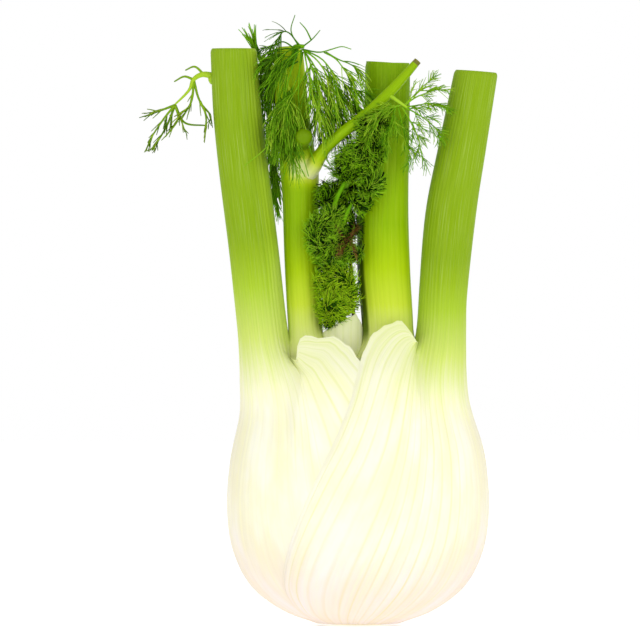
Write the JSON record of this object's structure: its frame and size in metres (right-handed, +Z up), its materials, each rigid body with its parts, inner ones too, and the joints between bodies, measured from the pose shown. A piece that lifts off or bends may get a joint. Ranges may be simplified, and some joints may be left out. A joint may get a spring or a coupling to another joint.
{
  "type": "fennel bulb",
  "caption": "Whole fennel bulb with overlapping ribbed leaf bases, green stalks cut short, a forked side branch and feathery fronds, standing on its trimmed root end.",
  "frame": {"origin": "middle of the flat cut under the root end, which the bulb stands on", "axes": "+Z up along the bulb towards the stalks, +X to the right and -Y to the front, across the bulb's wide face"},
  "size_m": [0.144, 0.0802, 0.2465],
  "materials": {
    "root": "matte cut root, slightly browned",
    "outer_leaf": "smooth cream leaf base turning olive green up the stalk",
    "inner_leaf": "smooth yellow-green stalk on a cream leaf base",
    "heart": "pale thin young leaf",
    "pale_frond": "bright green feathery leaf",
    "dark_frond": "dark green feathery leaf",
    "moss_frond": "dense mid-green young leaf",
    "withered": "dry brown withered leaf"
  },
  "bodies": {
    "root": {"root_end": "root", "right_outer_leaf": "outer_leaf", "left_outer_leaf": "outer_leaf", "right_inner_leaf": "inner_leaf", "left_inner_leaf": "inner_leaf", "heart_leaf": "heart", "crown_frond": "pale_frond", "rear_frond": "dark_frond", "left_sprig": "pale_frond", "branch_frond": "pale_frond", "upper_heart_frond": "dark_frond", "middle_heart_frond": "dark_frond", "lower_heart_frond": "moss_frond", "withered_sprig": "withered"}
  },
  "joints": []
}
